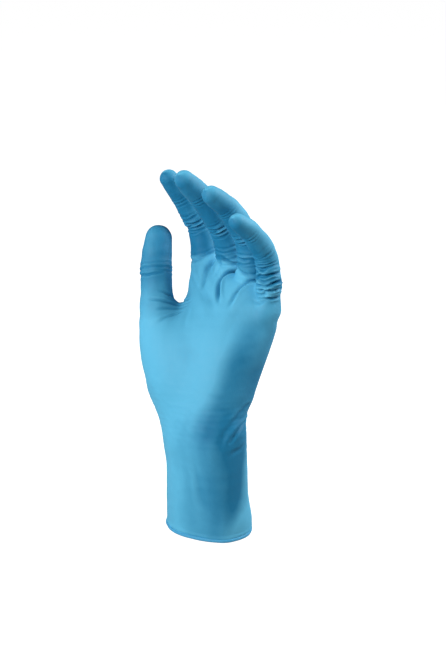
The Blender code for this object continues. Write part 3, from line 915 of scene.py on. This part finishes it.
def keep_joined(bm, place):
    """Deletes every vertex that isn't joined to the one nearest the place."""
    start = min(bm.verts, key=lambda v: (v.co - Vector(place)).length)
    kept, queue = {start}, [start]
    while queue:
        for edge in queue.pop().link_edges:
            for v in edge.verts:
                if v not in kept:
                    kept.add(v)
                    queue.append(v)
    bmesh.ops.delete(bm, geom=[v for v in bm.verts if v not in kept], context="VERTS")


def palm_mesh():
    """The palm's film points and faces, cut off at the wrist and past each web."""
    points, quads = net_surface(PALM_BOX_LOW, PALM_BOX_HIGH, GRID)
    bm = bmesh.new()
    verts = [bm.verts.new(p) for p in points]
    for q in quads.tolist():
        bm.faces.new([verts[i] for i in q])
    faces, centres = faces_and_centres(bm)
    owner = seam_owners(centres)
    for i, (base, axes, girth) in enumerate(SEAMS):
        near = np.abs((centres - base) @ axes[:, 2] - SEAM_AT) < CUT_REACH
        cut_faces(bm, picked(faces, (owner == i) & near), base + axes[:, 2] * SEAM_AT, axes[:, 2])
    seam = palm_point(0, 0, WRIST_SEAM)
    faces, centres = faces_and_centres(bm)
    near = np.abs((centres - seam) @ HAND[:, 2]) < CUT_REACH
    cut_faces(bm, picked(faces, near), seam, HAND[:, 2])
    faces, centres = faces_and_centres(bm)
    owner = seam_owners(centres)
    gone = (centres - seam) @ HAND[:, 2] < 0
    for i, (base, axes, girth) in enumerate(SEAMS):
        past = (centres - base) @ axes[:, 2] - SEAM_AT
        gone |= (owner == i) & (past > 0) & (past < 5)
    bmesh.ops.delete(bm, geom=picked(faces, gone), context="FACES")
    bm.verts.ensure_lookup_table()
    keep_joined(bm, palm_point(*HEEL))
    bm.verts.index_update()
    points = np.array([v.co for v in bm.verts], float)
    faces = [tuple(v.index for v in f.verts) for f in bm.faces]
    border = np.array([v.is_boundary for v in bm.verts])
    bm.free()
    settled = settle(points)
    # seam points may only slide within their plane
    for base, axes, girth in SEAMS + [(seam - HAND[:, 2] * SEAM_AT, HAND, 0)]:
        on = border & (np.abs((points - base) @ axes[:, 2] - SEAM_AT) < 1e-3)
        moved = settled[on] - points[on]
        settled[on] = points[on] + moved - ((moved @ axes[:, 2])[:, None] * axes[:, 2])
    return settled, faces


# ---- materials
def node(tree, kind, **settings):
    made = tree.nodes.new(kind)
    for key, value in settings.items():
        if key == "inputs":
            for socket, given in value.items():
                if isinstance(given, bpy.types.NodeSocket):
                    tree.links.new(given, made.inputs[socket])
                else:
                    made.inputs[socket].default_value = given
        else:
            setattr(made, key, value)
    return made


def nitrile(name, light, deep, roughness=0.66):
    """Satin nitrile rubber with a fine moulded grain. Its colour goes pale with the stored tone, which is
    partly stretched film and partly painted light and shade, and deep down the folds: painted shade in
    the folds and creases, painted light on their ridges.
    """
    material = bpy.data.materials.new(name)
    material.use_nodes = True
    tree = material.node_tree
    shader = tree.nodes["Principled BSDF"]
    place = node(tree, "ShaderNodeAttribute", attribute_name="rest_place").outputs["Vector"]
    fold = node(tree, "ShaderNodeAttribute", attribute_name="fold_depth").outputs["Fac"]

    def noise(scale, detail, rough):
        settings = {"Vector": place, "Scale": scale, "Detail": detail, "Roughness": rough}
        return node(tree, "ShaderNodeTexNoise", inputs=settings)

    patches, cloud, grain = noise(0.055, 3.0, 0.55), noise(0.35, 4.0, 0.6), noise(2.6, 3.0, 0.6)
    pores = node(tree, "ShaderNodeTexVoronoi", inputs={"Vector": place, "Scale": 1.5})
    light_and_stretch = node(tree, "ShaderNodeAttribute", attribute_name="stretch_and_painted_light").outputs["Fac"]
    # fold depth added to the tone: painted shade in folds and creases, painted light on their ridges
    fold_shade_and_stretch = node(tree, "ShaderNodeMath", operation="MULTIPLY_ADD", inputs={0: fold, 1: 0.30, 2: light_and_stretch})
    mixed = node(tree, "ShaderNodeMath", operation="MULTIPLY_ADD",
                 inputs={0: patches.outputs["Fac"], 1: 0.20, 2: -0.17})
    speck = node(tree, "ShaderNodeMath", operation="MULTIPLY_ADD",
                 inputs={0: cloud.outputs["Fac"], 1: 0.14, 2: mixed.outputs[0]})
    tone = node(tree, "ShaderNodeMath", operation="ADD", use_clamp=True,
                inputs={0: fold_shade_and_stretch.outputs[0], 1: speck.outputs[0]})
    # the ramp runs from the deep, shaded colour to the pale, lit one
    ramp = node(tree, "ShaderNodeValToRGB", inputs={"Fac": tone.outputs[0]})
    for stop, colour, position in zip(ramp.color_ramp.elements, (deep, light), (0.05, 0.85)):
        stop.color = (*colour, 1)
        stop.position = position
    tree.links.new(ramp.outputs["Color"], shader.inputs["Base Color"])
    rough = node(tree, "ShaderNodeMapRange", inputs={
        "Value": cloud.outputs["Fac"], "From Min": 0.3, "From Max": 0.7,
        "To Min": roughness - 0.05, "To Max": roughness + 0.07})
    tree.links.new(rough.outputs["Result"], shader.inputs["Roughness"])
    bumps = ((0.22, 0.00006, grain.outputs["Fac"]), (0.12, 0.00008, pores.outputs["Distance"]),
             (0.25, 0.0004, cloud.outputs["Fac"]))
    below = {}
    for strength, distance, rise in bumps:
        settings = {"Strength": strength, "Distance": distance, "Height": rise, **below}
        below = {"Normal": node(tree, "ShaderNodeBump", inputs=settings).outputs["Normal"]}
    tree.links.new(below["Normal"], shader.inputs["Normal"])
    gloss = {"IOR": 1.5, "Specular IOR Level": 0.38, "Sheen Weight": 0.02, "Sheen Roughness": 0.35,
             "Sheen Tint": (0.75, 0.9, 1.0, 1)}
    for socket, value in gloss.items():
        shader.inputs[socket].default_value = value
    return material


# lit and shaded copies of the film's blue: the pale end holds a painted highlight, the deep end painted
# shade
FILM_LIGHT = (0.085, 0.415, 0.635)
FILM_DEEP = (0.001, 0.168, 0.335)
BEAD_LIGHT = (0.080, 0.400, 0.660)
BEAD_DEEP = (0.002, 0.200, 0.390)
film_material = nitrile("blue_nitrile", FILM_LIGHT, FILM_DEEP)
bead_material = nitrile("blue_nitrile_roll", BEAD_LIGHT, BEAD_DEEP, roughness=0.5)

# ---- cuff
CUFF_BELOW = 10.0           # the cuff's centre line starts this far below the mouth
FIRST_RING = 0.9            # the first ring of film stands this high, inside the bead
# long folds: place round the cuff, lean, depth, and the heights they start and end at
CUFF_FOLDS = (
    (0.55, 0.010, 0.55, 8, 50), (-0.75, -0.008, 0.35, 20, 62), (2.4, 0.006, 0.5, 6, 46),
    (3.9, -0.006, 0.4, 12, 58), (1.45, -0.012, 0.45, 14, 60),
)
BEAD_SIDES = 28
BEAD_RADIUS = 1.08
BEAD_HEIGHT = 1.32
BEAD_INSET = 0.25


def turned_from(angle, place):
    """The angle from a place round a circle, between minus and plus half a turn."""
    return (angle - place + math.pi) % (2 * math.pi) - math.pi


def cuff_relief(p, height, angle):
    """The cuff's own slack: a flared, slightly wavy mouth, a ridge above the roll and a few long folds."""
    toward = np.clip(np.cos(angle - 0.75), 0, 1) ** 2
    flare = 0.5 * np.exp(-height / 9.0) + 2.7 * toward * np.exp(-((height - 8.0) / 11.0) ** 2)
    ridge = 0.45 * np.exp(-((height - 3.5 - 0.35 * np.sin(3 * angle)) / 0.6) ** 2)
    slack = 0.35 * drift(p * (1, 1, 0.35)) + 0.14 * waver(p * (0.8, 0.8, 0.16))
    long_fold = 0.0
    for place, lean, depth, low, high in CUFF_FOLDS:
        turned = turned_from(angle, place + lean * height)
        fade = smoothstep(low, low + 14, height) * smoothstep(high, high - 16, height)
        long_fold = long_fold + depth * fade * groove(turned * 24.0, 2.6, 0.5)
    return flare + ridge + slack * smoothstep(70, 55, height) + long_fold


def add_cuff():
    """Adds the cuff's film, and returns its mouth's points and normals."""
    spine = Spine([(0, 0, -CUFF_BELOW), WRIST, palm_point(0, 0, 60)], [19.5], np.array((1.0, 0, 0)))
    top = CUFF_BELOW + np.linalg.norm(WRIST) + WRIST_SEAM
    p, s, angle = ring_grid(spine, np.linspace(CUFF_BELOW + FIRST_RING, top, CUFF_RINGS), AROUND_CUFF)
    normals = field_normal(p)
    bump = palm_relief(p) + cuff_relief(p, s - CUFF_BELOW, angle)
    points = p + normals * bump[:, None]
    faces = tube_faces(CUFF_RINGS, AROUND_CUFF)
    film = film_object("cuff_film", points, normals, faces, bump, film_material, palm_stretch_and_painted_light(p))
    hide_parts("cuff")
    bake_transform(film)
    return points[:AROUND_CUFF], normals[:AROUND_CUFF]


def bead_section(t):
    """The roll's radius round its own section: a lip, and beside it the seam where the roll ends."""
    lip = 1.0 + 0.16 * math.exp(-(turned_from(t, 0.9) / 0.32) ** 2)
    return lip - 0.14 * math.exp(-(turned_from(t, 0.25) / 0.16) ** 2)


def add_bead(mouth, outward):
    """The rolled bead: the film's edge wound up on itself, with the seam of the roll as a second line."""
    outward = outward * (1, 1, 0)
    outward /= np.linalg.norm(outward, axis=1)[:, None]
    around = np.arange(AROUND_CUFF) * 2 * math.pi / AROUND_CUFF
    roll = BEAD_RADIUS + 0.05 * np.sin(5 * around + 0.6) + 0.04 * np.sin(11 * around)
    centre = mouth - outward * BEAD_INSET
    centre[:, 2] = BEAD_HEIGHT
    points, faces = [], []
    for k in range(BEAD_SIDES):
        t = 2 * math.pi * k / BEAD_SIDES
        out = outward * math.cos(t) + np.array((0, 0, 1.0)) * math.sin(t)
        points.append(centre + out * (roll * bead_section(t))[:, None])
        a, b = k * AROUND_CUFF, ((k + 1) % BEAD_SIDES) * AROUND_CUFF
        for j in range(AROUND_CUFF):
            following = (j + 1) % AROUND_CUFF
            faces.append((a + j, a + following, b + following, b + j))
    points = np.concatenate(points)
    mesh = bpy.data.meshes.new("cuff_roll")
    mesh.from_pydata((points * MM).tolist(), [], faces)
    mesh.polygons.foreach_set("use_smooth", np.ones(len(mesh.polygons), bool))
    keep_places(mesh, points)
    keep_value(mesh, "fold_depth", np.zeros(len(points)))
    keep_value(mesh, "stretch_and_painted_light", np.full(len(points), 0.6))
    mesh.materials.append(bead_material)
    bead = add_object("cuff_roll", mesh)
    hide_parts("cuff_bead")
    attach(bead, "cuff")


add_bead(*add_cuff())

# ---- palm
place, palm_faces = palm_mesh()
points, normals, bump = skin_points(place)
palm_film = film_object("palm_film", points, normals, palm_faces, bump, film_material, palm_stretch_and_painted_light(place))
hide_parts("hand")
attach(palm_film, "hand")


# ---- fingers and thumb
def steps_between(a, b):
    return np.linspace(a, b, max(3, int(round((b - a) / RING_STEP)) + 1))


def digit_piece(name, part, spine, s_values, around, dome_rings):
    p, s, angle = ring_grid(spine, s_values, around)
    if dome_rings:
        q, t, turned = dome_grid(spine, s_values[-1], around, dome_rings)
        p, s, angle = np.vstack([p, q]), np.append(s, t), np.append(angle, turned)
    past = s - spine.at[1]
    points, normals, bump = skin_points(p, name, past, angle)
    rings = len(s_values) + max(dome_rings - 1, 0)
    faces = tube_faces(rings, around, closed=dome_rings > 0)
    stretch_and_painted_light = digit_stretch_and_painted_light(name, p, past, angle)
    return film_object(f"{name}_{part}_film", points, normals, faces, bump, film_material, stretch_and_painted_light)


def add_digit(name, points, parts, fillets, seam_shares, bend_reach, around, dome_rings):
    """Adds a digit's pieces of film, one for each part, and hides those parts of the CAD model."""
    tip, end = points[-2:]
    spine = Spine([*points[:-1], end + unit(end - tip) * 10], [0.1, *fillets], LAYOUT[name]["hinge"])
    web = spine.at[1]
    seams = [a + (b - a) * share for a, b, share in zip(spine.at[1:], spine.at[2:], seam_shares)]
    cuts = [web + SEAM_AT, *seams, spine.at[-2] + np.linalg.norm(end - tip)]
    films = []
    for part, a, b in zip(parts, cuts, cuts[1:]):
        rings = dome_rings if part == "tip" else 0
        films.append(digit_piece(name, part, spine, steps_between(a, b), around, rings))
    bodies = [f"{name}_{part}".replace("base", "proximal") for part in parts]
    for film, body in zip(films, bodies):
        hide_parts(body)
    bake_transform(films[0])
    for k, reach in enumerate(bend_reach):
        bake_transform(films[k + 1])


for name in FINGERS:
    add_digit(name, LAYOUT[name]["points"], parts=("base", "middle", "tip"), fillets=(7.0, 6.0),
              seam_shares=(0.52, 0.5), bend_reach=(6.0, 5.5), around=84, dome_rings=15)
add_digit("thumb", LAYOUT["thumb"]["points"][1:], parts=("base", "tip"), fillets=(8.0,),
          seam_shares=(0.5,), bend_reach=(7.0,), around=100, dome_rings=18)

# ---- stage, light and camera
AIM = Vector((0, 0, 0.1023))
CAMERA_AZIMUTH = 43.2
CAMERA_HEIGHT = 18.1
CAMERA_ROLL = -1.0
CAMERA_AWAY = 1.0
CAMERA_LENS = 87.3
CAMERA_SHIFT = (0.027, 0.058)
ROOM_LIGHT = 0.09           # how bright the room is to the glove; to the camera it is 1
FLOOR_GLOW = 0.96           # how bright the floor is to the camera
FLOOR_GREY = 0.35           # how pale it is to the glove
FLOOR_HALF = 6.0            # half the floor's side, in metres


def direction(azimuth, elevation):
    a, e = math.radians(azimuth), math.radians(elevation)
    return Vector((math.sin(a) * math.cos(e), -math.cos(a) * math.cos(e), math.sin(e)))


def aimed(obj, place, target, roll=0.0):
    obj.location = place
    looking = (target - place).to_track_quat("-Z", "Y").to_matrix().to_4x4()
    obj.matrix_world = Matrix.Translation(place) @ looking @ Matrix.Rotation(math.radians(roll), 4, "Z")


camera_data = bpy.data.cameras.new("camera")
camera_data.lens = CAMERA_LENS
camera_data.sensor_width = 36.0
camera_data.sensor_fit = "AUTO"
camera_data.shift_x, camera_data.shift_y = CAMERA_SHIFT
camera = add_object("camera", camera_data)
aimed(camera, AIM + direction(CAMERA_AZIMUTH, CAMERA_HEIGHT) * CAMERA_AWAY, AIM, CAMERA_ROLL)
bpy.context.scene.camera = camera


def soft_light(name, azimuth, elevation, away, size, power):
    data = bpy.data.lights.new(name, "AREA")
    data.shape = "DISK"
    data.size = size
    data.energy = power
    aimed(add_object(name, data), AIM + direction(azimuth, elevation) * away, AIM)


soft_light("key", azimuth=2, elevation=27, away=0.9, size=0.45, power=7.6)
soft_light("left", azimuth=-58, elevation=24, away=1.0, size=0.9, power=3.6)
soft_light("rim", azimuth=146, elevation=36, away=1.1, size=0.6, power=14.0)

world = bpy.data.worlds.new("studio")
world.use_nodes = True
# the room is evenly pale, and reads as plain white where the camera sees it
room = world.node_tree.nodes["Background"]
room.inputs["Color"].default_value = (1, 1, 1, 1)
seen = node(world.node_tree, "ShaderNodeLightPath").outputs["Is Camera Ray"]
levels = {"Value": seen, "To Min": ROOM_LIGHT, "To Max": 1.0}
brightness = node(world.node_tree, "ShaderNodeMapRange", inputs=levels)
world.node_tree.links.new(brightness.outputs["Result"], room.inputs["Strength"])
bpy.context.scene.world = world

floor_mesh = bpy.data.meshes.new("floor")
corners = [(x * FLOOR_HALF, y * FLOOR_HALF, 0) for x, y in ((-1, -1), (1, -1), (1, 1), (-1, 1))]
floor_mesh.from_pydata(corners, [], [(0, 1, 2, 3)])
floor_material = bpy.data.materials.new("floor_white")
floor_material.use_nodes = True
floor_shader = floor_material.node_tree.nodes["Principled BSDF"]
floor_shader.inputs["Base Color"].default_value = (FLOOR_GREY, FLOOR_GREY, FLOOR_GREY, 1)
floor_shader.inputs["Roughness"].default_value = 0.9
floor_shader.inputs["Emission Color"].default_value = (1, 1, 1, 1)
on_view = node(floor_material.node_tree, "ShaderNodeLightPath").outputs["Is Camera Ray"]
glow = node(floor_material.node_tree, "ShaderNodeMath", operation="MULTIPLY",
            inputs={0: on_view, 1: FLOOR_GLOW})
floor_material.node_tree.links.new(glow.outputs[0], floor_shader.inputs["Emission Strength"])
floor_mesh.materials.append(floor_material)
floor = add_object("floor", floor_mesh)

bpy.context.scene.view_settings.view_transform = "Standard"
